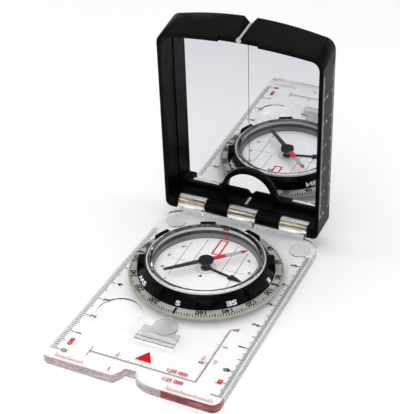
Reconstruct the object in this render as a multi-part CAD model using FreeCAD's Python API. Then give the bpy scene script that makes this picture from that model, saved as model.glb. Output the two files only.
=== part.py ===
import FreeCAD, Part
import math
import os

V = FreeCAD.Vector
X, Y, Z = V(1, 0, 0), V(0, 1, 0), V(0, 0, 1)

# ---------------------------------------------------------------- driving sizes (mm)
# Frame: Z is the needle pivot axis, z = 0 the underside of the plate, +Y the travel direction.
PLATE_W = 65.0              # plate width, X
PLATE_NEAR, PLATE_FAR = -63.5, 36.5
PLATE_T = 3.4
NEAR_R, FAR_R = 3.0, 8.0    # plate corner radii
BEVEL_W, BEVEL_H = 2.0, 1.2  # bevel of the left ruler edge

LENS_C, LENS_R = (-18.6, -33.2), 8.0
LENS_TOP, LENS_SAG = 3.75, 0.9
GLUE = 0.02                 # bond line between two clear pieces
INDEX_Y = (-33.0, -29.2)    # luminous index line, from the stud to the ring
BLOCK_W, BLOCK_Y, BLOCK_TOP = 14.8, (-43.6, -39.4), 4.0     # clear index block, set through the plate
STUD_C, STUD_R = (0.3, -34.7), 4.5
NOTCH_Y = -58.7             # bottom of the lanyard notch
FOOT_XY, FOOT_R, FOOT_T = (26.0, 28.6), 4.0, 0.8

SEAT_R = 22.15              # hole in the plate that the bezel turns in
COUNTER_R, COUNTER_D = 24.3, 0.9

HINGE_Y, HINGE_Z = 35.5, 7.9
KNUCKLE_R, PIN_R, PIN_BORE_R = 2.75, 0.9, 0.95
CLEAR_KNUCKLES = [(-27.0, -15.8), (-5.7, 5.7), (15.8, 27.0)]
LID_KNUCKLES = [(-15.5, -6.0), (6.0, 15.5)]
LID_TILT = 2.0              # degrees past upright, towards the near end, at rest

RING_OUT = 28.7
RING_Z0, RING_Z1 = 3.65, 5.75
CONE_OUT, CONE_IN, SHELL_IN = 25.5, 22.35, 22.0
SLEEVE_IN, SLEEVE_OUT, SLEEVE_Z0, SLEEVE_Z1 = 21.55, 22.05, 0.9, 10.6
BEZEL_TOP = 10.1
GRIPS, GRIP_ARC, GRIP_OUT, GRIP_TOP = 8, 14.0, 25.2, 9.75

CAP_OUT, CAP_IN = 21.45, 19.95
CAP_RIM, CAP_TOP, CAP_WINDOW = 11.0, 10.6, 9.95
CAP_FLOOR0, CAP_FLOOR1 = 0.0, 1.72
SCALE_TOP = 8.7             # top of the ribbed wall inside the crystal

DIAL_Z0, DIAL_Z1, DIAL_R = 4.9, 5.4, 19.2
BOSS_R, BOSS_BORE = 2.0, 2.05
GEAR_M, GEAR_N, PINION_N = 0.5, 48, 12
GEAR_Z0, GEAR_Z1 = 4.0, 4.85
PINION_DIR = 250.0          # degrees, where the adjusting screw sits

NEEDLE_DIR = 44.0           # degrees, direction of the needle's north end
NEEDLE_Z, NEEDLE_T, NEEDLE_L = 8.8, 0.3, 16.4
MAGNET_Z, CAP_R, CROWN_Z = 8.3, 2.75, 9.5
CLINO_DIR = -13.0           # degrees, direction of the slope hand
CLINO_Z, CLINO_T, CLINO_L = 5.75, 0.3, 16.6

LID_W, LID_RIM, LID_BACK = 31.95, 3.68, -9.1     # half width; depth coordinates of rim and back
MIRROR_FRONT, MIRROR_BACK = -6.3, -8.0
LID_WALL = 1.5
SHELF_V, WALL_V, LID_LOW = 3.2, 1.2, -1.3
EAR_X = 27.3                # lid side walls reach down past the axis outside this
WINDOW_R, COLLAR_R, WINDOW_V = 9.8, 11.5, 5.6
DOT_R = 0.95                # round end of the upper luminous line

os.makedirs("parts", exist_ok=True)


# ---------------------------------------------------------------- helpers
def save(name, shape):
    shape.exportStep("parts/%s.step" % name)


def box(x0, x1, y0, y1, z0, z1):
    return Part.makeBox(x1 - x0, y1 - y0, z1 - z0, V(x0, y0, z0))


def cyl(r, z0, z1, x=0.0, y=0.0):
    return Part.makeCylinder(r, z1 - z0, V(x, y, z0), Z)


def rod_x(r, x0, x1, y, z):
    return Part.makeCylinder(r, x1 - x0, V(x0, y, z), X)


def tube(r0, r1, z0, z1, x=0.0, y=0.0):
    return cyl(r1, z0, z1, x, y).cut(cyl(r0, z0 - 1, z1 + 1, x, y))


def prism(points, z0, z1):
    pts = [V(x, y, z0) for x, y in points]
    return Part.Face(Part.makePolygon(pts + pts[:1])).extrude(V(0, 0, z1 - z0))


def revolve(profile):
    pts = [V(r, 0, z) for r, z in profile]
    return Part.Face(Part.makePolygon(pts + pts[:1])).revolve(V(0, 0, 0), Z, 360)


def union(shapes):
    out = shapes[0]
    for shape in shapes[1:]:
        out = out.fuse(shape)
    return out


def cut_all(shape, tools):
    for tool in tools:
        shape = shape.cut(tool)
    return shape


def polar(r, deg):
    return r * math.cos(math.radians(deg)), r * math.sin(math.radians(deg))


def turned(shape, deg):
    out = shape.copy()
    out.rotate(V(0, 0, 0), Z, deg)
    return out


def arc(p, q, r):
    """Quarter-like arc from p to q about the centre r."""
    mid = V(0, 0, 0) + p + q - r * 2
    mid.normalize()
    return Part.Arc(p, r + mid * (p - r).Length, q).toShape()


# ---------------------------------------------------------------- base plate
def plate_outline(z):
    hw, n, f = PLATE_W / 2, PLATE_NEAR, PLATE_FAR
    a, b = NEAR_R, FAR_R
    p = [V(-hw + a, n, z), V(hw - a, n, z), V(hw, n + a, z), V(hw, f - b, z),
         V(hw - b, f, z), V(-hw + b, f, z), V(-hw, f - b, z), V(-hw, n + a, z)]
    edges = [Part.makeLine(p[0], p[1]), arc(p[1], p[2], V(hw - a, n + a, z)),
             Part.makeLine(p[2], p[3]), arc(p[3], p[4], V(hw - b, f - b, z)),
             Part.makeLine(p[4], p[5]), arc(p[5], p[6], V(-hw + b, f - b, z)),
             Part.makeLine(p[6], p[7]), arc(p[7], p[0], V(-hw + a, n + a, z))]
    return Part.Wire(edges)


def baseplate():
    hw = PLATE_W / 2
    plate = Part.Face(plate_outline(0)).extrude(V(0, 0, PLATE_T))
    bevel = Part.Face(Part.makePolygon([
        V(-hw + BEVEL_W, -80, PLATE_T), V(-hw - 1, -80, PLATE_T - BEVEL_H * 1.5),
        V(-hw - 1, -80, PLATE_T + 1), V(-hw + BEVEL_W, -80, PLATE_T + 1),
        V(-hw + BEVEL_W, -80, PLATE_T)])).extrude(V(0, 160, 0))
    plate = plate.cut(bevel)

    notch = prism([(-5.2, PLATE_NEAR - 1), (-5.2, PLATE_NEAR), (-3.1, -60.4), (-3.0, NOTCH_Y - 0.5),
                   (-2.5, NOTCH_Y), (1.2, NOTCH_Y), (1.7, NOTCH_Y - 0.5), (1.8, -60.3),
                   (2.7, -61.4), (4.1, -62.3), (6.3, -63.1), (8.6, PLATE_NEAR),
                   (8.6, PLATE_NEAR - 1)], -1, PLATE_T + 1)
    half = BLOCK_W / 2 + 0.05
    cuts = [notch, box(-half, half, BLOCK_Y[0] - 0.05, BLOCK_Y[1] + 0.05, -1, PLATE_T + 1),
            cyl(SEAT_R, -1, PLATE_T + 1), cyl(COUNTER_R, -1, COUNTER_D),
            cyl(LENS_R + 0.05, 1.0, PLATE_T + 1, *LENS_C)]
    for side in (-1, 1):
        cuts.append(cyl(FOOT_R + 0.05, -1, FOOT_T, side * FOOT_XY[0], FOOT_XY[1]))
    plate = cut_all(plate, cuts)

    knuckles = []
    for x0, x1 in CLEAR_KNUCKLES:
        knuckles.append(rod_x(KNUCKLE_R, x0, x1, HINGE_Y, HINGE_Z))
        inset = 1.2
        knuckles.append(box(x0 + inset, x1 - inset, HINGE_Y - 2.2, PLATE_FAR - 0.2,
                            PLATE_T - 0.2, HINGE_Z))
    bore = rod_x(PIN_BORE_R, -40, 40, HINGE_Y, HINGE_Z)
    return union([plate, magnifier_dome()] + knuckles).cut(bore)


def magnifier_dome():
    """Plano-convex magnifier moulded into the plate: its rim sinks below the plate's top."""
    ball_r = (LENS_R ** 2 + LENS_SAG ** 2) / (2 * LENS_SAG)
    ball = Part.makeSphere(ball_r, V(LENS_C[0], LENS_C[1], LENS_TOP - ball_r))
    return cyl(LENS_R + 0.05, 0.5, LENS_TOP + 1, *LENS_C).common(ball)


def index_block():
    """Clear block through the plate, stepped in front, with the stud that points the line at the ring."""
    half, (near, far) = BLOCK_W / 2, BLOCK_Y
    low = PLATE_T + GLUE
    ledge = box(-half, half, near, near + 1.6, 0.05, PLATE_T + 0.3)
    body = box(-half, half, near + 1.5, far, 0.05, BLOCK_TOP)
    wing = box(-half + 0.3, 0, far - 0.5, far + 3.2, low, BLOCK_TOP - 0.1)
    stud = cyl(STUD_R, low, BLOCK_TOP, *STUD_C)
    neck = box(0, half - 0.3, far - 0.5, far + 2.5, low, BLOCK_TOP - 0.2)
    slot = box(-0.35, 0.35, INDEX_Y[0] - 0.05, INDEX_Y[1] + 1, 0, PLATE_T + 0.4)
    return union([ledge, body, wing, neck, stud]).cut(slot)


def index_line():
    return box(-0.3, 0.3, INDEX_Y[0], INDEX_Y[1], PLATE_T + GLUE, PLATE_T + 0.35)


# ---------------------------------------------------------------- bezel and capsule
def bezel_ring():
    low = RING_Z1 + 0.02
    body = revolve([(SHELL_IN, low), (CONE_OUT, low), (CONE_IN, BEZEL_TOP), (SHELL_IN, BEZEL_TOP)])
    grip = revolve([(SHELL_IN, low), (CONE_OUT, low), (GRIP_OUT, GRIP_TOP - 0.4),
                    (GRIP_OUT - 0.4, GRIP_TOP), (SHELL_IN + 0.2, GRIP_TOP), (SHELL_IN + 0.2, low + 1),
                    (SHELL_IN, low + 1)])
    h = math.radians(GRIP_ARC / 2)
    wedge = [(15 * math.cos(-h), 15 * math.sin(-h)), (32 * math.cos(-h), 32 * math.sin(-h)),
             (32 * math.cos(h), 32 * math.sin(h)), (15 * math.cos(h), 15 * math.sin(h))]
    one = grip.common(prism(wedge, 0, 20))
    grips = [turned(one, 360.0 / GRIPS * (k + 0.5)) for k in range(GRIPS)]
    return union([body] + grips)


def azimuth_ring():
    """Degree ring with the sleeve that turns in the plate and holds the capsule."""
    return revolve([(SLEEVE_IN, SLEEVE_Z0), (SLEEVE_OUT, SLEEVE_Z0), (SLEEVE_OUT, RING_Z0),
                    (RING_OUT, RING_Z0), (RING_OUT, RING_Z1 - 0.9), (RING_OUT - 0.8, RING_Z1),
                    (SHELL_IN - 0.05, RING_Z1), (SHELL_IN - 0.05, SLEEVE_Z1),
                    (SLEEVE_IN, SLEEVE_Z1)])


def capsule_cover():
    """Crystal: side wall and window in one, the rim standing above the window."""
    profile = [(0, CAP_WINDOW), (CAP_IN, CAP_WINDOW), (CAP_IN, CAP_FLOOR1 + 0.02),
               (CAP_OUT, CAP_FLOOR1 + 0.02), (CAP_OUT, CAP_RIM - 0.25), (CAP_OUT - 0.25, CAP_RIM),
               (CAP_IN + 0.9, CAP_RIM), (CAP_IN - 0.2, CAP_TOP), (0, CAP_TOP)]
    return revolve(profile)


def capsule_base():
    floor = cyl(CAP_OUT, CAP_FLOOR0, CAP_FLOOR1)
    boss = cyl(BOSS_R, CAP_FLOOR1 - 0.1, CLINO_Z - 0.1)
    x, y = pinion_centre()
    cuts = [cyl(0.62, CAP_FLOOR1 - 0.6, 9.0), cyl(1.55, -1, 9.0, x, y),
            tube(20.3, 20.9, CAP_FLOOR1 - 0.6, 9.0)]
    return cut_all(floor.fuse(boss), cuts)


def capsule_seal():
    return tube(20.32, 20.88, CAP_FLOOR1 - 0.58, CAP_FLOOR1 + 0.01)


def retaining_ring():
    ring = tube(SLEEVE_OUT + 0.02, COUNTER_R - 0.2, 0.15, COUNTER_D - 0.08)
    lip = tube(SLEEVE_IN, SLEEVE_OUT + 0.1, 0.15, COUNTER_D - 0.02)
    return ring.fuse(lip)


def scale_ring():
    return revolve([(CAP_IN - 0.05, CAP_FLOOR1 + 0.03), (CAP_IN - 0.05, SCALE_TOP),
                    (CAP_IN - 0.25, SCALE_TOP), (DIAL_R + 0.12, DIAL_Z1 + 0.1),
                    (DIAL_R + 0.12, CAP_FLOOR1 + 0.03)])


def pivot_pin():
    shoulder = NEEDLE_Z - 0.25
    shaft = cyl(0.6, CAP_FLOOR1 - 0.58, shoulder)
    tip = Part.makeCone(0.6, 0.08, 0.9, V(0, 0, shoulder), Z)
    return shaft.fuse(tip)


# ---------------------------------------------------------------- declination drive
def gear_outline(n, phase, backlash=0.055):
    """Trapezoid teeth on the pitch circle of a small gear of n teeth."""
    pitch = GEAR_M * n / 2
    root, tip = pitch - 1.2 * GEAR_M, pitch + 0.85 * GEAR_M
    step = 360.0 / n
    half = math.degrees((math.pi * GEAR_M / 4 - backlash) / pitch)
    slope = math.degrees(GEAR_M * 0.36 / pitch)
    pts = []
    for k in range(n):
        mid = phase + k * step
        pts += [polar(root, mid - half - slope), polar(tip, mid - half + slope),
                polar(tip, mid + half - slope), polar(root, mid + half + slope)]
    return pts


def pinion_centre():
    return polar(GEAR_M * (GEAR_N + PINION_N) / 2, PINION_DIR)


def declination_gear():
    gear = prism(gear_outline(GEAR_N, PINION_DIR), GEAR_Z0, GEAR_Z1)
    return gear.cut(cyl(9.5, 0, 9))


def declination_screw():
    x, y = pinion_centre()
    phase = 180.0 / PINION_N + PINION_DIR + 180.0
    pinion = prism(gear_outline(PINION_N, phase), GEAR_Z0, GEAR_Z1)
    pinion.translate(V(x, y, 0))
    shaft = cyl(1.5, 0.3, GEAR_Z0 + 0.1, x, y)
    slot = box(x - 2, x + 2, y - 0.25, y + 0.25, 0, 0.9)
    return pinion.fuse(shaft).cut(slot)


def dial_plate():
    disc = cyl(DIAL_R, DIAL_Z0, DIAL_Z1)
    return disc.cut(cyl(BOSS_BORE, 0, 9))


# ---------------------------------------------------------------- needle and slope hand
def needle():
    blade = [(0, -1.1), (-8, -0.95), (-NEEDLE_L + 0.8, -0.7), (-NEEDLE_L, -0.35),
             (-NEEDLE_L, 0.35), (-NEEDLE_L + 0.8, 0.7), (-8, 0.95), (0, 1.1),
             (7.5, 0.95), (14.0, 0.7), (14.0, 0.95), (NEEDLE_L, 0), (14.0, -0.95),
             (14.0, -0.7), (7.5, -0.95)]
    top = NEEDLE_Z + NEEDLE_T
    plate = prism(blade, NEEDLE_Z, top).fuse(cyl(2.4, NEEDLE_Z, top))
    groove = box(7.7, 13.6, -0.52, 0.52, NEEDLE_Z + 0.12, top + 1)
    return turned(plate.cut(cyl(1.25, 0, top + 1)).cut(groove), NEEDLE_DIR)


def needle_lume():
    bar = box(7.72, 13.58, -0.5, 0.5, NEEDLE_Z + 0.14, NEEDLE_Z + NEEDLE_T + 0.06)
    return turned(bar, NEEDLE_DIR)


def needle_magnet():
    return tube(1.25, CAP_R, MAGNET_Z, NEEDLE_Z - 0.02)


def needle_cap():
    low, inner = NEEDLE_Z + NEEDLE_T + 0.02, CROWN_Z - 0.15
    return revolve([(1.25, low), (CAP_R, low), (CAP_R, low + 0.25), (CAP_R - 0.5, CROWN_Z - 0.1),
                    (1.0, CROWN_Z), (0, CROWN_Z), (0, inner), (1.25, inner)])


def needle_bearing():
    body = cyl(1.2, NEEDLE_Z - 0.3, CROWN_Z - 0.17)
    cup = Part.makeCone(0.9, 0.1, 0.98, V(0, 0, NEEDLE_Z - 0.31), Z)
    return body.cut(cup)


def clinometer_hand():
    hand = [(0, -0.42), (10.6, -0.42), (10.6, -1.5), (CLINO_L, 0),
            (10.6, 1.5), (10.6, 0.42), (0, 0.42)]
    hub = cyl(1.5, CLINO_Z, CLINO_Z + CLINO_T)
    blade = prism(hand, CLINO_Z, CLINO_Z + CLINO_T)
    return turned(hub.fuse(blade).cut(cyl(0.67, 0, 9)), CLINO_DIR)


# ---------------------------------------------------------------- lid, built upright then tilted
def lid_point(x, n, v):
    """n runs from the hinge towards the mirror's front, v up the lid."""
    return V(x, HINGE_Y - n, HINGE_Z + v)


def lid_box(x0, x1, n0, n1, v0, v1):
    return box(x0, x1, HINGE_Y - n1, HINGE_Y - n0, HINGE_Z + v0, HINGE_Z + v1)


def lid_outline(half, n, v_low, v_side, v_mid, r_low, r_top):
    """Rounded lid outline with a crowned top edge, at depth n."""
    def at(x, v):
        return lid_point(x, n, v)

    p = [at(-half + r_low, v_low), at(half - r_low, v_low), at(half, v_low + r_low),
         at(half, v_side - r_top), at(half - r_top, v_side), at(-half + r_top, v_side),
         at(-half, v_side - r_top), at(-half, v_low + r_low)]
    edges = [Part.makeLine(p[0], p[1]), arc(p[1], p[2], at(half - r_low, v_low + r_low)),
             Part.makeLine(p[2], p[3]), arc(p[3], p[4], at(half - r_top, v_side - r_top)),
             Part.Arc(p[4], at(0, v_mid), p[5]).toShape(),
             arc(p[5], p[6], at(-half + r_top, v_side - r_top)),
             Part.makeLine(p[6], p[7]), arc(p[7], p[0], at(-half + r_low, v_low + r_low))]
    return Part.Wire(edges)


def lid_loft(near, far):
    return Part.makeLoft([near, far], True, True)


def tilted(shape):
    out = shape.copy()
    out.rotate(V(0, HINGE_Y, HINGE_Z), X, LID_TILT)
    return out


def lid_cylinder(r, n0, n1, x, v):
    return Part.makeCylinder(r, n1 - n0, lid_point(x, n1, v), Y)


def v_groove(depth_up, half_back, n0, n1, v0, v1):
    """V cut whose bottom line runs from (n0, v0) to (n1, v1)."""
    def tri(n, v):
        pts = [lid_point(0, n, v), lid_point(half_back, n, v + depth_up),
               lid_point(-half_back, n, v + depth_up)]
        return Part.makePolygon(pts + pts[:1])

    return Part.makeLoft([tri(n0, v0), tri(n1, v1)], True, True)


def lid_shell():
    outer = lid_loft(lid_outline(LID_W, LID_BACK, LID_LOW, 77.0, 79.9, 2.5, 4.6),
                     lid_outline(LID_W, LID_RIM, LID_LOW, 74.6, 76.3, 2.5, 4.6))
    inner = LID_W - LID_WALL
    tray = lid_loft(lid_outline(inner, MIRROR_FRONT, SHELF_V, 73.6, 75.3, 0.6, 3.4),
                    lid_outline(inner, LID_RIM + 0.1, SHELF_V, 73.0, 74.7, 0.6, 3.4))
    seat = lid_loft(lid_outline(inner - 0.3, MIRROR_BACK, 5.3, 73.1, 74.8, 0.6, 3.0),
                    lid_outline(inner - 0.3, MIRROR_FRONT + 0.1, 5.3, 73.1, 74.8, 0.6, 3.0))
    shell = outer.cut(tray).cut(seat)

    under = lid_box(-EAR_X, EAR_X, LID_BACK - 1, LID_RIM + 1, -5, WALL_V)
    front = lid_box(-EAR_X, EAR_X, -1.6, LID_RIM + 1, -5, SHELF_V + 0.01)
    hinge_room = rod_x(KNUCKLE_R + 0.35, -EAR_X, EAR_X, HINGE_Y, HINGE_Z)
    shell = cut_all(shell, [under, front, hinge_room])

    adds = []
    for x0, x1 in LID_KNUCKLES:
        adds.append(rod_x(KNUCKLE_R, x0, x1, HINGE_Y, HINGE_Z))
        adds.append(lid_box(x0, x1, -6.0, 0.6, 0.2, SHELF_V - 0.4))
    collar = lid_cylinder(COLLAR_R, LID_BACK, MIRROR_FRONT + 1.5, 0, WINDOW_V)
    collar = collar.common(lid_box(-20, 20, -20, 20, SHELF_V - 0.6, 40))
    shell = union([shell, collar] + adds)

    arch = lid_cylinder(WINDOW_R, LID_BACK - 1, LID_RIM + 1, 0, WINDOW_V)
    window = arch.common(lid_box(-20, 20, -20, 20, WINDOW_V + 0.2, 40))
    porch = arch.common(lid_box(-20, 20, LID_BACK + 1.0, 20, SHELF_V, WINDOW_V + 0.3))
    porch = porch.fuse(lid_box(-WINDOW_R, WINDOW_R, LID_BACK + 1.0, 3, SHELF_V, WINDOW_V + 0.3))
    low_v = v_groove(3.4, 3.4, LID_BACK - 1, LID_BACK + 2, 4.1, 4.1)
    top_v = v_groove(6.0, 5.6, LID_BACK - 1, LID_RIM + 1, 77.3, 75.5)
    relief = lid_box(-7.6, 7.6, LID_RIM - 1.1, LID_RIM + 1, 60, 90)
    line_slots = [upper_line(0.02), lower_line(0.02), pin_bore()]
    shell = cut_all(shell, [window, porch, low_v, top_v, relief] + line_slots)
    return tilted(shell)


def pin_bore():
    return rod_x(PIN_BORE_R, -30.1, 30.1, HINGE_Y, HINGE_Z)


def upper_line(grow=0.0):
    """Luminous sighting line in the notch across the lid's top wall."""
    half = 0.5 + grow
    n0, n1 = LID_BACK + 0.6, LID_RIM - 1.4
    slope = (77.3 - 75.5) / (LID_BACK - 1 - LID_RIM - 1)

    def bottom(n):
        return 77.3 + slope * (n - LID_BACK + 1)

    sections = []
    for n in (n0 - grow, n1 + grow):
        low, high = bottom(n) - 0.35 - grow, bottom(n) + 0.42 + grow * 20
        pts = [lid_point(-half, n, low), lid_point(half, n, low),
               lid_point(half, n, high), lid_point(-half, n, high)]
        sections.append(Part.makePolygon(pts + pts[:1]))
    dot = lid_cylinder(DOT_R + grow, n1 - 0.6 - grow, n1 + 0.5 + grow, 0, bottom(n1))
    return Part.makeLoft(sections, True, True).fuse(dot)


def lower_line(grow=0.0):
    return lid_box(-0.5 - grow, 0.5 + grow, -7.6 - grow, -2.4 + grow,
                   SHELF_V - 0.4 - grow, SHELF_V + 0.04 + grow * 20)


def mirror():
    inner = LID_W - LID_WALL - 0.35
    glass = lid_loft(lid_outline(inner, MIRROR_BACK + 0.03, 5.36, 73.0, 74.7, 0.6, 3.0),
                     lid_outline(inner, MIRROR_FRONT, 5.36, 73.0, 74.7, 0.6, 3.0))
    hole = lid_cylinder(COLLAR_R + 0.1, LID_BACK, 5, 0, WINDOW_V)
    return tilted(glass.cut(hole))


# ---------------------------------------------------------------- write one file per piece
def foot(side):
    return cyl(FOOT_R, 0, FOOT_T - 0.02, side * FOOT_XY[0], FOOT_XY[1])


NODES = {
    "baseplate": baseplate(),
    "index_block": index_block(),
    "index_line": index_line(),
    "hinge_pin": rod_x(PIN_R, -29.9, 29.9, HINGE_Y, HINGE_Z),
    "foot_left": foot(-1),
    "foot_right": foot(1),
    "bezel_ring": bezel_ring(),
    "azimuth_ring": azimuth_ring(),
    "retaining_ring": retaining_ring(),
    "capsule_cover": capsule_cover(),
    "capsule_base": capsule_base(),
    "capsule_seal": capsule_seal(),
    "scale_ring": scale_ring(),
    "pivot_pin": pivot_pin(),
    "dial_plate": dial_plate(),
    "declination_gear": declination_gear(),
    "declination_screw": declination_screw(),
    "needle": needle(),
    "needle_lume": needle_lume(),
    "needle_magnet": needle_magnet(),
    "needle_cap": needle_cap(),
    "needle_bearing": needle_bearing(),
    "clinometer_hand": clinometer_hand(),
    "lid_shell": lid_shell(),
    "mirror": mirror(),
    "upper_sight_line": tilted(upper_line()),
    "lower_sight_line": tilted(lower_line()),
}

for node, solid in NODES.items():
    save(node, solid)
    print(node, "solids", len(solid.Solids), "volume %.1f" % solid.Volume, solid.isValid())
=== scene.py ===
import math

import bmesh
import bpy
from mathutils import Matrix, Vector


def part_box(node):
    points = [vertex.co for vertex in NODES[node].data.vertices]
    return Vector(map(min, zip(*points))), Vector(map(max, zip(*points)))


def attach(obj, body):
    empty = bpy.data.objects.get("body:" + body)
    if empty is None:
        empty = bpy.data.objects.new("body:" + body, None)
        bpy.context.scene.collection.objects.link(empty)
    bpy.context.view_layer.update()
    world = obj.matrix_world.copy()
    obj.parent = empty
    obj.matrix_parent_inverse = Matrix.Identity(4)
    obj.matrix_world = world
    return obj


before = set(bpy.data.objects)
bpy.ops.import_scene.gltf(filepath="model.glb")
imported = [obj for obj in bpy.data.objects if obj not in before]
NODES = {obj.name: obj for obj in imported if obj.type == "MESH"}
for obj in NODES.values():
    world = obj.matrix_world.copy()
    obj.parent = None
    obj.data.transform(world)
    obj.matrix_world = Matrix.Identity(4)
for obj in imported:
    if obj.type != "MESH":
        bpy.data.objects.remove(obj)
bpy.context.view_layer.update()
MM = 0.001

# ------------------------------------------------------------------ sizes in mm, from the frame where possible
HINGE_Y, HINGE_Z = 35.5, 7.9
LID_TILT = math.radians(2.0)
LID_SIDE, MIRROR_FACE = 31.95, -6.3       # half width of the lid, depth of the mirror's face
RING_TOP = 5.75
BEZEL_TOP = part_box("bezel_ring")[1].z / MM
DIAL_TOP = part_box("dial_plate")[1].z / MM
CRYSTAL_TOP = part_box("capsule_cover")[1].z / MM
CONE_FOOT, CONE_HEAD = (25.5, 5.77), (22.35, BEZEL_TOP)
BEZEL_TURN, DIAL_TURN = 0.7, 1.8          # degrees, how far the prints stand turned at rest
NEEDLE_DIR = math.radians(44.0)
PALE_FROM, TIP_FROM = 7.7, 13.8           # along the needle's north half
CUT_SIDE, CUT_NEAR = 32.2, -58.5          # the plate's walls lie beyond these
PAINTED_RED_FROM = 12.5                           # the near wall carries a painted red reflection to the right of this
MIRROR_SHADE_LOW, MIRROR_SHADE_HIGH = 20.0, 85.0      # heights between which painted shade darkens the mirror


# ------------------------------------------------------------------ materials
def new_material(name):
    m = bpy.data.materials.new(name)
    m.use_nodes = True
    return m, m.node_tree, principled(m)


def principled(m):
    return next(n for n in m.node_tree.nodes if n.type == "BSDF_PRINCIPLED")


def surface_input(nt):
    return next(n for n in nt.nodes if n.type == "OUTPUT_MATERIAL").inputs["Surface"]


def coords(nt):
    return nt.nodes.new("ShaderNodeTexCoord").outputs["Object"]


def part_of(nt, vector, axis):
    """One number of a vector, by its axis letter."""
    split = nt.nodes.new("ShaderNodeSeparateXYZ")
    nt.links.new(vector, split.inputs[0])
    return split.outputs[axis]


def maths(nt, operation, a, b=None):
    node = nt.nodes.new("ShaderNodeMath")
    node.operation = operation
    nt.links.new(a, node.inputs[0])
    if isinstance(b, float):
        node.inputs[1].default_value = b
    elif b is not None:
        nt.links.new(b, node.inputs[1])
    return node.outputs["Value"]


def shader_mix(nt, fac, first, second):
    """Mixes two shaders by a socket or by a plain number."""
    mix = nt.nodes.new("ShaderNodeMixShader")
    if isinstance(fac, float):
        mix.inputs["Fac"].default_value = fac
    else:
        nt.links.new(fac, mix.inputs["Fac"])
    nt.links.new(first, mix.inputs[1])
    nt.links.new(second, mix.inputs[2])
    return mix.outputs["Shader"]


def noise(nt, scale, detail=3.0, stretch=None):
    tex = nt.nodes.new("ShaderNodeTexNoise")
    tex.inputs["Scale"].default_value = scale
    tex.inputs["Detail"].default_value = detail
    out = coords(nt)
    if stretch:
        mapping = nt.nodes.new("ShaderNodeMapping")
        mapping.inputs["Scale"].default_value = stretch
        nt.links.new(out, mapping.inputs["Vector"])
        out = mapping.outputs["Vector"]
    nt.links.new(out, tex.inputs["Vector"])
    return tex.outputs["Fac"]


def mapped(nt, value, lo, hi):
    """Stretches a noise's usual span, 0.3 to 0.7, over lo to hi."""
    node = nt.nodes.new("ShaderNodeMapRange")
    node.inputs["From Min"].default_value = 0.3
    node.inputs["From Max"].default_value = 0.7
    node.inputs["To Min"].default_value = lo
    node.inputs["To Max"].default_value = hi
    nt.links.new(value, node.inputs["Value"])
    return node.outputs["Result"]


def colour_mix(nt, fac, a, b):
    mix = nt.nodes.new("ShaderNodeMix")
    mix.data_type = "RGBA"
    nt.links.new(fac, mix.inputs["Factor"])
    for socket, value in (("A", a), ("B", b)):
        target = [s for s in mix.inputs if s.name == socket and s.type == "RGBA"][0]
        if isinstance(value, tuple):
            target.default_value = (*value, 1.0)
        else:
            nt.links.new(value, target)
    return [s for s in mix.outputs if s.type == "RGBA"][0]


def add_bump(nt, bsdf, height, strength, distance=0.0001):
    bump = nt.nodes.new("ShaderNodeBump")
    bump.inputs["Strength"].default_value = strength
    bump.inputs["Distance"].default_value = distance
    nt.links.new(height, bump.inputs["Height"])
    nt.links.new(bump.outputs["Normal"], bsdf.inputs["Normal"])


def moulded(name, low, high, rough, grain=4000.0, bump=0.15, cloud=90.0, specular=0.5):
    """Moulded plastic or rubber: slow colour drift, fine grain in the bump, uneven gloss."""
    m, nt, bsdf = new_material(name)
    nt.links.new(colour_mix(nt, mapped(nt, noise(nt, cloud), 0, 1), low, high), bsdf.inputs["Base Color"])
    nt.links.new(mapped(nt, noise(nt, cloud * 4), rough[0], rough[1]), bsdf.inputs["Roughness"])
    add_bump(nt, bsdf, noise(nt, grain), bump)
    bsdf.inputs["Specular IOR Level"].default_value = specular
    return m


def clear(name, tint, rough, ior=1.49, ripple=0.04, shade=0.98):
    """Clear plastic: polished, with a slight waviness, letting direct light through to what is under it."""
    m, nt, bsdf = new_material(name)
    bsdf.inputs["Base Color"].default_value = (*tint, 1)
    bsdf.inputs["Transmission Weight"].default_value = 1.0
    bsdf.inputs["IOR"].default_value = ior
    nt.links.new(mapped(nt, noise(nt, 300), rough[0], rough[1]), bsdf.inputs["Roughness"])
    add_bump(nt, bsdf, noise(nt, 120, 2.0), ripple)
    path = nt.nodes.new("ShaderNodeLightPath")
    through = nt.nodes.new("ShaderNodeBsdfTransparent")
    through.inputs["Color"].default_value = (shade, shade, shade, 1)
    glass = shader_mix(nt, path.outputs["Is Shadow Ray"], bsdf.outputs["BSDF"], through.outputs["BSDF"])
    nt.links.new(glass, surface_input(nt))
    return m


def metal(name, low, high, rough, stretch, bump=0.1):
    """Bare metal with drawn or turned streaks."""
    m, nt, bsdf = new_material(name)
    bsdf.inputs["Metallic"].default_value = 1.0
    streak = noise(nt, 900, 4.0, stretch)
    nt.links.new(colour_mix(nt, mapped(nt, streak, 0, 1), low, high), bsdf.inputs["Base Color"])
    nt.links.new(mapped(nt, streak, rough[0], rough[1]), bsdf.inputs["Roughness"])
    add_bump(nt, bsdf, streak, bump)
    return m


def banded(name, low, high, dark, level_mm):
    """Moulded plastic in two colours: low to high up to a level, and the third colour above it."""
    m = moulded(name, low, high, (0.35, 0.5), 4000, 0.15)
    nt, paint = m.node_tree, principled(m).inputs["Base Color"]
    before = paint.links[0].from_socket
    above = maths(nt, "GREATER_THAN", part_of(nt, coords(nt), "Z"), level_mm * MM)
    nt.links.new(colour_mix(nt, above, before, dark), paint)
    return m


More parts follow.
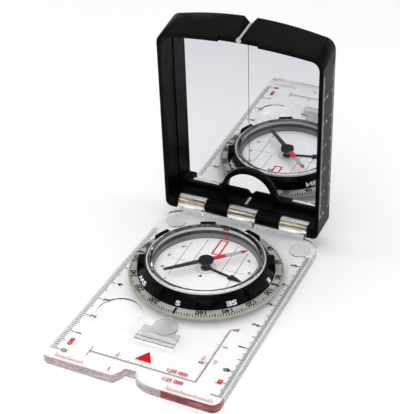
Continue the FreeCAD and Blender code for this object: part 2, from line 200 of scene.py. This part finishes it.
def needle_material():
    """Satin paint: the south half is black, the north half red at its root and tip and pale between."""
    m, nt, bsdf = new_material("needle_paint")
    along = nt.nodes.new("ShaderNodeVectorMath")
    along.operation = "DOT_PRODUCT"
    along.inputs[1].default_value = (math.cos(NEEDLE_DIR), math.sin(NEEDLE_DIR), 0)
    nt.links.new(coords(nt), along.inputs[0])

    def beyond(distance_mm):
        return maths(nt, "GREATER_THAN", along.outputs["Value"], distance_mm * MM)

    drift = mapped(nt, noise(nt, 700), 0, 1)
    red = colour_mix(nt, drift, (0.5, 0.002, 0.015), (0.6, 0.005, 0.025))
    black = colour_mix(nt, drift, (0.006, 0.006, 0.007), (0.012, 0.012, 0.013))
    pale = colour_mix(nt, drift, (0.3, 0.3, 0.29), (0.4, 0.4, 0.38))
    paint = colour_mix(nt, beyond(0.0), black, red)
    paint = colour_mix(nt, beyond(PALE_FROM), paint, pale)
    paint = colour_mix(nt, beyond(TIP_FROM), paint, red)
    nt.links.new(paint, bsdf.inputs["Base Color"])
    nt.links.new(mapped(nt, noise(nt, 900), 0.3, 0.45), bsdf.inputs["Roughness"])
    add_bump(nt, bsdf, noise(nt, 6000), 0.08)
    return m


def paint_mirror_shade_upwards(m):
    """Painted shade: the mirror's colour darkens towards the lid's far end, standing in for the dimmer
    surroundings it reflects there.
    """
    nt, silver = m.node_tree, principled(m).inputs["Base Color"]
    before = silver.links[0].from_socket
    ramp = nt.nodes.new("ShaderNodeMapRange")
    ramp.inputs["From Min"].default_value = MIRROR_SHADE_LOW * MM
    ramp.inputs["From Max"].default_value = MIRROR_SHADE_HIGH * MM
    nt.links.new(part_of(nt, coords(nt), "Z"), ramp.inputs["Value"])
    # painted shade: the mirror's far end takes this darker, bluer colour
    nt.links.new(colour_mix(nt, ramp.outputs["Result"], before, (0.6, 0.61, 0.65)), silver)


WALL_WHITE = (0.94, 0.94, 0.94)
# painted reflection of the red print inside the near wall, in three shades
PAINTED_REFLECTION_PINK = (0.93, 0.66, 0.67)
PAINTED_REFLECTION_ROSE = (0.75, 0.30, 0.32)
PAINTED_REFLECTION_RED = (0.26, 0.02, 0.03)


def cut_edges_and_painted_reflection(m):
    """The plate's outer edges are cut, not moulded, and scatter some light.

    Painted reflection: the near wall is tinted pink in patches, and red to rose at its right end, standing in
    for the red print reflected inside the plate.
    """
    nt = m.node_tree
    surface = surface_input(nt)
    before = surface.links[0].from_socket
    x, y = part_of(nt, coords(nt), "X"), part_of(nt, coords(nt), "Y")
    facing = part_of(nt, nt.nodes.new("ShaderNodeTexCoord").outputs["Normal"], "Z")
    sides = maths(nt, "GREATER_THAN", maths(nt, "ABSOLUTE", x), CUT_SIDE * MM)
    near = maths(nt, "LESS_THAN", y, CUT_NEAR * MM)
    upright = maths(nt, "LESS_THAN", maths(nt, "ABSOLUTE", facing), 0.5)
    edge = maths(nt, "MULTIPLY", maths(nt, "MAXIMUM", sides, near), upright)
    streaks = mapped(nt, noise(nt, 500, 3.0, (1, 1, 6)), 0.3, 0.75)
    reflection_patches = mapped(nt, noise(nt, 170, 2.0, (1, 1, 3)), 0.0, 1.0)
    # painted reflection: the near wall's pink, and its red right end, stand in for the red print seen inside
    # the plate
    painted_red_end = maths(nt, "GREATER_THAN", x, PAINTED_RED_FROM * MM)
    pink = colour_mix(nt, maths(nt, "MULTIPLY", near, reflection_patches), WALL_WHITE, PAINTED_REFLECTION_PINK)
    red = colour_mix(nt, reflection_patches, PAINTED_REFLECTION_RED, PAINTED_REFLECTION_ROSE)
    tint = colour_mix(nt, maths(nt, "MULTIPLY", near, painted_red_end), pink, red)
    glow, matte = nt.nodes.new("ShaderNodeBsdfTranslucent"), nt.nodes.new("ShaderNodeBsdfDiffuse")
    nt.links.new(tint, glow.inputs["Color"])
    nt.links.new(tint, matte.inputs["Color"])
    scattered = shader_mix(nt, 0.5, glow.outputs[0], matte.outputs[0])
    nt.links.new(shader_mix(nt, maths(nt, "MULTIPLY", edge, streaks), before, scattered), surface)


ACRYLIC = clear("clear_acrylic", (0.93, 0.925, 0.925), (0.0, 0.03), shade=0.95)
# cut edges scatter light; the near wall also takes a painted reflection of the red print
cut_edges_and_painted_reflection(ACRYLIC)
BLOCK = clear("block_acrylic", (0.84, 0.83, 0.85), (0.0, 0.08), ior=1.56, ripple=0.25, shade=0.8)
CRYSTAL = clear("clear_crystal", (0.99, 0.995, 1.0), (0.0, 0.02), ripple=0.02)
SILICONE = clear("silicone", (0.975, 0.985, 0.985), (0.0, 0.05), ior=1.41, ripple=0.05)
LID_BLACK = moulded("lid_black", (0.001, 0.001, 0.0012), (0.003, 0.003, 0.0035), (0.3, 0.42),
                    5000, 0.08, specular=0.05)
BEZEL_BLACK = moulded("bezel_black", (0.001, 0.001, 0.001), (0.003, 0.002, 0.003), (0.2, 0.3),
                      5000, 0.05, specular=0.06)
# painted light: above 6.2 mm the ring's inner sleeve is painted pale, standing in for light through the thin
# back-lit plastic; below it, the luminous plastic's own colour
LUME = banded("luminous_ring", (0.35, 0.36, 0.31), (0.42, 0.425, 0.37), (0.8, 0.8, 0.8), 6.2)
LUME_LINE = moulded("luminous_line", (0.66, 0.74, 0.3), (0.72, 0.8, 0.4), (0.4, 0.55), 5000, 0.08)
LUME_PALE = moulded("luminous_pale", (0.42, 0.43, 0.41), (0.5, 0.51, 0.49), (0.4, 0.55), 5000, 0.1)
GREY = banded("wall_grey", (0.1, 0.1, 0.105), (0.16, 0.16, 0.165), (0.006, 0.006, 0.007), 7.4)
RIB_GREY = moulded("rib_grey", (0.2, 0.2, 0.21), (0.32, 0.32, 0.33), (0.35, 0.5))
WHITE = moulded("dial_white", (0.9, 0.9, 0.9), (0.95, 0.945, 0.94), (0.35, 0.5), 5000, 0.05)


def ink_of(name, low, high, specular=0.5):
    """Printing ink: matt, with a fine grain."""
    return moulded(name, low, high, (0.45, 0.6), 9000, 0.2, specular=specular)


INK = ink_of("ink_black", (0.003, 0.003, 0.003), (0.008, 0.007, 0.008), 0.1)
INK_RED = ink_of("ink_red", (0.62, 0.002, 0.006), (0.7, 0.004, 0.01), 0.05)
INK_BROWN = ink_of("ink_brown", (0.22, 0.025, 0.03), (0.3, 0.04, 0.045), 0.1)
INK_GREY = ink_of("ink_grey", (0.05, 0.05, 0.05), (0.09, 0.085, 0.085), 0.2)
INK_WHITE = ink_of("ink_white", (0.6, 0.59, 0.66), (0.74, 0.73, 0.8))
PIN = metal("pin_wire", (0.42, 0.33, 0.17), (0.62, 0.52, 0.32), (0.18, 0.34), (0.1, 1, 1))
STEEL = metal("turned_steel", (0.5, 0.5, 0.5), (0.65, 0.65, 0.64), (0.2, 0.35), (1, 1, 0.1))
BRASS = metal("turned_brass", (0.6, 0.44, 0.17), (0.75, 0.58, 0.28), (0.2, 0.35), (1, 1, 0.1))
MIRROR = metal("mirror_silver_painted_shade", (0.83, 0.84, 0.86), (0.85, 0.86, 0.88), (0.0, 0.004), (1, 1, 1), 0.0)
# paints shade into the mirror's colour, darker towards its far end
paint_mirror_shade_upwards(MIRROR)
JEWEL = moulded("jewel", (0.35, 0.02, 0.06), (0.5, 0.04, 0.1), (0.05, 0.1), 2000, 0.02)
SEAL = moulded("seal_rubber", (0.012, 0.012, 0.012), (0.02, 0.02, 0.02), (0.55, 0.7), 3000, 0.2)

NODE_MATERIALS = {
    "baseplate": ACRYLIC, "index_block": BLOCK, "index_line": LUME_LINE,
    "hinge_pin": PIN, "foot_left": SILICONE, "foot_right": SILICONE, "bezel_ring": BEZEL_BLACK,
    "azimuth_ring": LUME, "retaining_ring": LUME_PALE, "capsule_cover": CRYSTAL,
    "capsule_base": CRYSTAL, "capsule_seal": SILICONE, "scale_ring": GREY, "pivot_pin": STEEL,
    "dial_plate": WHITE, "declination_gear": WHITE, "declination_screw": BRASS,
    "needle": needle_material(), "needle_lume": LUME_PALE, "needle_magnet": SEAL,
    "needle_cap": BEZEL_BLACK, "needle_bearing": JEWEL, "clinometer_hand": INK,
    "lid_shell": LID_BLACK, "mirror": MIRROR, "upper_sight_line": LUME_PALE,
    "lower_sight_line": LUME_PALE,
}
for node_name, material in NODE_MATERIALS.items():
    data = NODES[node_name].data
    data.materials.clear()
    data.materials.append(material)


def soften(node_name, width_mm, segments=2):
    """Small rounded edges on a CAD node, as moulding leaves them."""
    obj = NODES[node_name]
    weld = obj.modifiers.new("weld", "WELD")
    weld.merge_threshold = 1e-6
    bevel = obj.modifiers.new("bevel", "BEVEL")
    bevel.width = width_mm * MM
    bevel.segments = segments
    bevel.limit_method = "ANGLE"
    bevel.angle_limit = math.radians(35)
    bevel.harden_normals = True


for node_name, width in (("lid_shell", 0.3), ("bezel_ring", 0.2), ("azimuth_ring", 0.2),
                         ("baseplate", 0.25), ("capsule_cover", 0.2), ("index_block", 0.2)):
    soften(node_name, width)


# ------------------------------------------------------------------ mesh helpers, in mm until the last step
BOX_FACES = [[3, 2, 1, 0], [4, 5, 6, 7], [0, 1, 5, 4], [1, 2, 6, 5], [2, 3, 7, 6], [3, 0, 4, 7]]


class Print:
    """Gathers thin raised marks into one piece."""

    def __init__(self, name, material, body):
        self.name, self.material, self.body = name, material, body
        self.verts, self.faces = [], []

    def add(self, verts, faces, place):
        base = len(self.verts)
        self.verts += [Vector(place(v)) * MM for v in verts]
        self.faces += [[base + i for i in f] for f in faces]

    def bar(self, p, q, width, place, thick=0.03, lift=0.0):
        """A straight mark from p to q."""
        p, q = Vector(p), Vector(q)
        side = Vector((-(q - p).y, (q - p).x)).normalized() * width / 2
        ring = [p + side, p - side, q - side, q + side]
        verts = [(v.x, v.y, lift) for v in ring] + [(v.x, v.y, lift + thick) for v in ring]
        self.add(verts, BOX_FACES, place)

    def poly(self, points, place, thick=0.03, lift=0.0):
        """A filled flat outline."""
        n = len(points)
        verts = [(x, y, lift) for x, y in points] + [(x, y, lift + thick) for x, y in points]
        faces = [list(range(n))[::-1], list(range(n, 2 * n))]
        faces += [[i, (i + 1) % n, (i + 1) % n + n, i + n] for i in range(n)]
        self.add(verts, faces, place)

    def text(self, words, size, place, thick=0.03, bold=0.0, wide=1.0):
        verts, faces = glyphs(words, bold)
        self.add([(x * size * wide, y * size, z * thick) for x, y, z in verts], faces, place)

    def finish(self):
        mesh = bpy.data.meshes.new(self.name)
        mesh.from_pydata(self.verts, [], self.faces)
        mesh.update()
        obj = bpy.data.objects.new(self.name, mesh)
        bpy.context.scene.collection.objects.link(obj)
        mesh.materials.append(self.material)
        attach(obj, self.body)
        return obj


_glyph_cache = {}


def glyphs(words, bold):
    """Vertices and faces of centred words, 1 unit high capitals, from z 0 to 1."""
    key = (words, bold)
    if key not in _glyph_cache:
        curve = bpy.data.curves.new("words", "FONT")
        curve.body = words
        curve.size = 1.4
        curve.align_x = "CENTER"
        curve.align_y = "CENTER"
        curve.extrude = 0.5
        curve.offset = bold
        curve.resolution_u = 3
        obj = bpy.data.objects.new("words", curve)
        bpy.context.scene.collection.objects.link(obj)
        deps = bpy.context.evaluated_depsgraph_get()
        mesh = bpy.data.meshes.new_from_object(obj.evaluated_get(deps))
        bm = bmesh.new()
        bm.from_mesh(mesh)
        bmesh.ops.remove_doubles(bm, verts=bm.verts, dist=1e-5)
        bm.verts.index_update()
        mid = (max(v.co.y for v in bm.verts) + min(v.co.y for v in bm.verts)) / 2
        verts = [(v.co.x, v.co.y - mid, v.co.z + 0.5) for v in bm.verts]
        faces = [[v.index for v in f.verts] for f in bm.faces]
        bm.free()
        bpy.data.objects.remove(obj)
        bpy.data.curves.remove(curve)
        bpy.data.meshes.remove(mesh)
        _glyph_cache[key] = (verts, faces)
    return _glyph_cache[key]


def flat(x, y, z, turn=0.0):
    """Places marks on a level surface, turned by that many degrees."""
    c, s = math.cos(math.radians(turn)), math.sin(math.radians(turn))
    return lambda v: (x + v[0] * c - v[1] * s, y + v[0] * s + v[1] * c, z + v[2])


def around(bearing, radius, z, slope=0.0):
    """Places marks round the dial at a bearing, their tops outwards.

    The surface is a cone that falls outwards by slope degrees.
    """
    b, t = math.radians(bearing), math.radians(slope)

    def place(v):
        r = radius + v[1] * math.cos(t) + v[2] * math.sin(t)
        angle = b + v[0] / radius
        return (r * math.sin(angle), r * math.cos(angle),
                z - v[1] * math.sin(t) + v[2] * math.cos(t))
    return place


def lid_place(x, n, v):
    """A point of the lid: n forwards from the hinge axis, v up the lid, as the lid stands at rest."""
    y, z = -n, v
    c, s = math.cos(LID_TILT), math.sin(LID_TILT)
    return (x, HINGE_Y + y * c - z * s, HINGE_Z + y * s + z * c)


# ------------------------------------------------------------------ prints on the underside of the plate
UNDER = 0.02                              # height of the prints, just inside the plate
RULER_ZERO, HALF_INCH = -57.0, 12.7
LEFT_END, RIGHT_END = -31.7, 31.2         # where the rulers' ticks start
FRAME_LEFT, FRAME_RIGHT, FRAME_NEAR, FRAME_FAR = -19, 20.5, -53.8, -25
plate_map = flat(0, 0, UNDER)
ink = Print("ruler_print", INK, "base")
brown = Print("fine_print", INK_BROWN, "base")
red = Print("red_print", INK_RED, "base")

for mm in range(0, 79):
    y = RULER_ZERO + mm
    length = 2.9 if mm % 10 == 0 else 2.1 if mm % 5 == 0 else 1.4
    ink.bar((LEFT_END, y), (LEFT_END + length, y), 0.26, plate_map)
for k in range(8):
    ink.text(str(k), 2.3, flat(-27.1, RULER_ZERO + 10 * k, UNDER, 90), bold=0.015)
for k in range(0, 105):
    y = RULER_ZERO + k * HALF_INCH / 16
    length = 4.0 if k % 16 == 0 else 2.6 if k % 8 == 0 else 2.0 if k % 4 == 0 else 1.4
    ink.bar((RIGHT_END, y), (RIGHT_END - length, y), 0.26, plate_map)
for k in range(6):                        # these figures count half inches
    ink.text(str(k), 2.3, flat(27.3, RULER_ZERO + HALF_INCH * (k + 1), UNDER, 90), bold=0.015)
red.text("cm", 2.2, flat(-27.2, -52.0, UNDER, 90), bold=0.05)
red.text("in", 2.2, flat(27.4, -50.5, UNDER, 90), bold=0.05)

red.poly([(-3.07, -51.3), (3.07, -51.3), (0, -46.3)], plate_map)

# the two map scales, along the frame's near and right sides
brown.bar((FRAME_LEFT, FRAME_NEAR), (FRAME_RIGHT, FRAME_NEAR), 0.24, plate_map)
brown.bar((FRAME_RIGHT, FRAME_NEAR), (FRAME_RIGHT, FRAME_FAR), 0.24, plate_map)
brown.bar((FRAME_RIGHT, FRAME_FAR), (23.3, -23.3), 0.24, plate_map)


def tick(k):
    return 1.5 if k % 10 == 0 else 0.9 if k % 5 == 0 else 0.5


for k in range(0, 40):
    x = FRAME_RIGHT - k
    brown.bar((x, FRAME_NEAR), (x, FRAME_NEAR + tick(k)), 0.18, plate_map)
for k in range(0, 29):
    y = FRAME_NEAR + k
    brown.bar((FRAME_RIGHT, y), (FRAME_RIGHT - tick(k), y), 0.18, plate_map)
brown.bar((FRAME_LEFT, -56.4), (FRAME_LEFT, -51.4), 0.2, plate_map)
for words, x, y, turn in (("1", -9.2, -51.7, 0), ("0", 18.1, -44.3, 90), ("2", 22.3, -24.4, 90),
                          ("1", 22.4, -34.1, 90)):
    brown.text(words, 1.8, flat(x, y, UNDER, turn), bold=0.02)
red.text("1", 1.8, flat(-8.65, -59.2, UNDER), bold=0.03)
red.text("1:50 000", 1.6, flat(12.8, -51.9, UNDER), bold=0.03)
red.text("1:25 000", 1.6, flat(13.2, -56.2, UNDER), bold=0.03)
red.text("0.5", 1.25, flat(18.0, -42.0, UNDER, 90))
red.text("1.0", 1.25, flat(22.4, -42.5, UNDER, 90))

# plain tick bars at the near edge, one each side
BAR_Y = -60.4
for x0, x1 in ((-28.5, -18.0), (13.0, 29.0)):
    red.bar((x0, BAR_Y), (x1, BAR_Y), 0.14, plate_map)
    for k in range(int(x1 - x0) + 1):
        tall = 1.5 if k % 5 == 0 else 0.9
        red.bar((x0 + k, BAR_Y), (x0 + k, BAR_Y + tall), 0.18, plate_map)
for group in (ink, brown, red):
    group.finish()

# ------------------------------------------------------------------ degree scale and letters of the bezel
ring_ink = Print("degree_scale", INK, "bezel")
TICK_END, CHAMFER_END = 27.88, 28.45
CHAMFER_FROM, CHAMFER_FALL = 27.9, 0.9 / 0.8


def chamfer(bearing):
    """Continues a tick of the degree ring down the ring's chamfer."""
    c, s = math.cos(math.radians(-bearing)), math.sin(math.radians(-bearing))

    def place(v):
        drop = max(v[1] - CHAMFER_FROM, 0) * CHAMFER_FALL
        return (v[0] * c - v[1] * s, v[0] * s + v[1] * c, RING_TOP - drop + v[2])
    return place


for deg in range(0, 360, 2):
    start = 27.3 if deg % 10 == 0 else 27.6
    width = 0.42 if deg % 10 == 0 else 0.3
    if deg % 20 == 0:
        start = 27.85
    if deg % 90 == 0:
        start, width = 25.6, 0.95
    ring_ink.bar((0, start), (0, TICK_END), width, flat(0, 0, RING_TOP, BEZEL_TURN - deg))
    ring_ink.bar((0, CHAMFER_FROM), (0, CHAMFER_END), width, chamfer(deg - BEZEL_TURN))
for deg in range(0, 360, 20):
    if deg % 90:
        ring_ink.text(str(deg), 2.05, around(deg - BEZEL_TURN, 26.7, RING_TOP), bold=0.05)
ring_ink.finish()

letters = Print("bezel_letters", INK_WHITE, "bezel")
CONE_SLOPE = math.degrees(math.atan2(CONE_HEAD[1] - CONE_FOOT[1], CONE_FOOT[0] - CONE_HEAD[0]))
LETTER_R = 24.6
letter_z = CONE_FOOT[1] + (CONE_FOOT[0] - LETTER_R) * math.tan(math.radians(CONE_SLOPE))
for k, word in enumerate(("N", "NE", "E", "SE", "S", "SW", "W", "NW")):
    if word != "N":
        place = around(45 * k - BEZEL_TURN, LETTER_R, letter_z + 0.03, CONE_SLOPE)
        letters.text(word, 1.6, place, bold=0.06, wide=1.75)
letters.finish()

# ------------------------------------------------------------------ dial print
dial_ink = Print("dial_lines", INK_GREY, "dial")
dial_red = Print("dial_red", INK_RED, "dial")
dial_map = flat(0, 0, DIAL_TOP, DIAL_TURN)
for x, low, high in ((-11.4, -8.5, 14.0), (-6.2, 1.5, 17.2), (6.0, -2.5, 17.2), (11.2, -9.5, 14.0)):
    dial_ink.bar((x, low), (x, high), 0.2, dial_map)
for side in (-1, 1):
    dial_ink.bar((side * 7.5, 1.2), (side * 14.5, 1.2), 0.12, dial_map)
dial_ink.poly([(-0.8, -6.0), (0.8, -6.0), (0, -4.4)], dial_map)
for deg in range(0, 360, 5):
    if abs((deg + 90) % 360 - 90) > 55:
        a = math.radians(deg)
        p = Vector((math.sin(a), math.cos(a)))
        dial_ink.bar(p * 18.1, p * (18.7 if deg % 10 else 18.9), 0.12, dial_map)
HUB_RING = 3.6
for k in range(72):                       # a thin circle round the hub, its short bars overlapping a little
    a, b = math.radians(5 * k), math.radians(5 * k + 5.2)
    dial_ink.bar((HUB_RING * math.sin(a), HUB_RING * math.cos(a)),
                 (HUB_RING * math.sin(b), HUB_RING * math.cos(b)), 0.12, dial_map)
for side in (-1, 1):
    for value in (0, 30, 60, 90):
        bearing = side * (135 - value * 0.9) - DIAL_TURN
        dial_ink.text(str(value), 1.2, around(bearing, 16.2, DIAL_TOP), bold=0.03)
    dial_red.bar((side * 1.4, 8.8), (side * 1.4, 18.7), 0.68, dial_map)
dial_red.bar((-1.74, 18.4), (1.74, 18.4), 0.6, dial_map)
dial_red.bar((-1.74, 9.1), (1.74, 9.1), 0.6, dial_map)
dial_ink.finish()
dial_red.finish()

# fine ribs round the grey wall inside the crystal, and the red pointer drawn up it
WALL_FOOT, WALL_HEAD = (19.32, 5.5), (19.7, 8.7)


def wall_r(z):
    share = (z - WALL_FOOT[1]) / (WALL_HEAD[1] - WALL_FOOT[1])
    return WALL_FOOT[0] + share * (WALL_HEAD[0] - WALL_FOOT[0])


ribs = Print("scale_ribs", RIB_GREY, "bezel")
RIB_COUNT, RIB_HALF, RIB_DEEP = 150, 0.2, 0.14
for k in range(RIB_COUNT):
    a = math.radians(360.0 / RIB_COUNT * k)
    u, w = Vector((math.sin(a), math.cos(a))), Vector((math.cos(a), -math.sin(a)))
    corners = []
    for z in (5.6, 7.3):
        for r, t in ((wall_r(z), -RIB_HALF), (wall_r(z) - RIB_DEEP, 0.0), (wall_r(z), RIB_HALF)):
            p = u * r + w * t
            corners.append((p.x, p.y, z))
    ribs.add(corners, [[0, 1, 2], [5, 4, 3], [0, 3, 4, 1], [1, 4, 5, 2], [2, 5, 3, 0]], lambda v: v)
ribs.finish()


def up_wall(v):
    """First number along the wall, second up it, third inwards, starting at north."""
    turn = math.radians(BEZEL_TURN)
    r = wall_r(v[1]) - RIB_DEEP - 0.02 - v[2]
    angle = v[0] / r - turn
    return (r * math.sin(angle), r * math.cos(angle), v[1])


pointer = Print("north_arrow", INK_RED, "bezel")
pointer.poly([(-0.3, 5.6), (-0.3, 8.5), (0.3, 8.5), (0.3, 5.6)], up_wall)
pointer.finish()

# north mark on the crystal, by its rim
north = Print("north_mark", INK, "bezel")
WINDOW_TOP = CRYSTAL_TOP - 0.39
north.text("N", 1.25, around(-BEZEL_TURN, 19.05, WINDOW_TOP), bold=0.08, wide=1.5)
north.finish()

# ------------------------------------------------------------------ lid details
line = Print("mirror_line", INK_GREY, "lid")
line.bar((0, 17.4), (0, 73.5), 0.22, lambda v: lid_place(v[0], MIRROR_FACE + v[2], v[1]),
         thick=0.02)
line.finish()

slope_scale = Print("lid_scale", INK_WHITE, "lid")


def right_wall(v):
    """Marks on the outer right wall: first number along the depth, second up the lid."""
    return lid_place(LID_SIDE + v[2], v[0], v[1])


SCALE_LOW, SCALE_FRONT, SCALE_BACK = 8, 3.0, -8.4
for k in range(60):
    v = SCALE_LOW + k
    length = 2.6 if k % 10 == 0 else 1.8 if k % 5 == 0 else 1.1
    slope_scale.bar((SCALE_FRONT, v), (SCALE_FRONT - length, v), 0.3, right_wall, thick=0.02)
    slope_scale.bar((SCALE_BACK, v), (SCALE_BACK + length, v), 0.3, right_wall, thick=0.02)


def number_on_wall(k):
    """Places a figure of the lid's scale, turned to read along the wall."""
    return lambda v: lid_place(LID_SIDE + v[2], -1.4 + v[1], SCALE_LOW + 10 * k - v[0])


for k in range(6):
    slope_scale.text(str(k), 1.6, number_on_wall(k), thick=0.02)
slope_scale.finish()


# ------------------------------------------------------------------ floor, light and camera
def stage_mesh(name, verts, faces, material):
    mesh = bpy.data.meshes.new(name)
    mesh.from_pydata(verts, [], faces)
    mesh.materials.append(material)
    obj = bpy.data.objects.new(name, mesh)
    bpy.context.scene.collection.objects.link(obj)


FLOOR = moulded("floor_paper", (0.93, 0.93, 0.935), (0.95, 0.95, 0.955), (0.6, 0.8), 800, 0.02, 6)
FLOOR_Z, FLOOR_HALF = -0.0003, 3          # metres
corners = [(x * FLOOR_HALF, y * FLOOR_HALF, FLOOR_Z) for x, y in ((-1, -1), (1, -1), (1, 1), (-1, 1))]
stage_mesh("floor", corners, [[0, 1, 2, 3]], FLOOR)

world = bpy.data.worlds.new("studio")
bpy.context.scene.world = world
world.use_nodes = True
sky = world.node_tree
height = sky.nodes.new("ShaderNodeSeparateXYZ")
sky.links.new(sky.nodes.new("ShaderNodeTexCoord").outputs["Generated"], height.inputs[0])
fade = sky.nodes.new("ShaderNodeMapRange")
fade.interpolation_type = "SMOOTHSTEP"
fade.inputs["From Min"].default_value, fade.inputs["From Max"].default_value = 0.25, 0.55
fade.inputs["To Min"].default_value, fade.inputs["To Max"].default_value = 0.95, 0.18
sky.links.new(height.outputs["Z"], fade.inputs["Value"])
sky.nodes["Background"].inputs["Color"].default_value = (0.985, 0.99, 1.0, 1)
sky.links.new(fade.outputs["Result"], sky.nodes["Background"].inputs["Strength"])


def area(name, place, aim, size, power):
    light = bpy.data.lights.new(name, "AREA")
    light.shape = "RECTANGLE"
    light.size, light.size_y = size
    light.energy = power
    obj = bpy.data.objects.new(name, light)
    obj.location = place
    obj.rotation_euler = (Vector(aim) - Vector(place)).to_track_quat("-Z", "Y").to_euler()
    bpy.context.scene.collection.objects.link(obj)


area("top_light", (-0.1, 0.1, 1.0), (0, 0, 0), (1.6, 1.4), 9.2)
area("front_light", (0.1, -0.6, 0.75), (0, 0.03, 0), (0.7, 0.5), 2.2)
area("left_light", (-0.7, -0.15, 0.45), (0, 0, 0.03), (0.5, 0.5), 1.0)
area("right_light", (0.7, 0.1, 0.5), (0, 0, 0.03), (0.4, 0.5), 1.0)

# the camera: angle round, height and roll in degrees, aim in mm, distance in metres
AZ, EL, ROLL = math.radians(24.961), math.radians(32.709), math.radians(-1.055)
AIM, DISTANCE = (-21.66, 46.362, 0), 0.448113
LENS_MM, SENSOR_MM = 95.1805217, 36.0
SHIFT = (-0.01163285, -0.00329227)        # of the frame's longer side
camera_data = bpy.data.cameras.new("camera")
camera_data.sensor_fit = "AUTO"
camera_data.sensor_width = SENSOR_MM
camera_data.lens = LENS_MM
camera_data.shift_x, camera_data.shift_y = SHIFT
camera_data.clip_start = 0.01
camera = bpy.data.objects.new("camera", camera_data)
bpy.context.scene.collection.objects.link(camera)
side = Vector((math.cos(AZ), math.sin(AZ), 0))
back = Vector((math.sin(AZ) * math.cos(EL), -math.cos(AZ) * math.cos(EL), math.sin(EL)))
up = back.cross(side)
right = side * math.cos(ROLL) + up * math.sin(ROLL)
above = up * math.cos(ROLL) - side * math.sin(ROLL)
target = Vector(AIM) * MM
rotation = Matrix((right, above, back)).transposed()
camera.matrix_world = Matrix.Translation(target + back * DISTANCE) @ rotation.to_4x4()
bpy.context.scene.camera = camera
bpy.context.scene.view_settings.view_transform = "Standard"
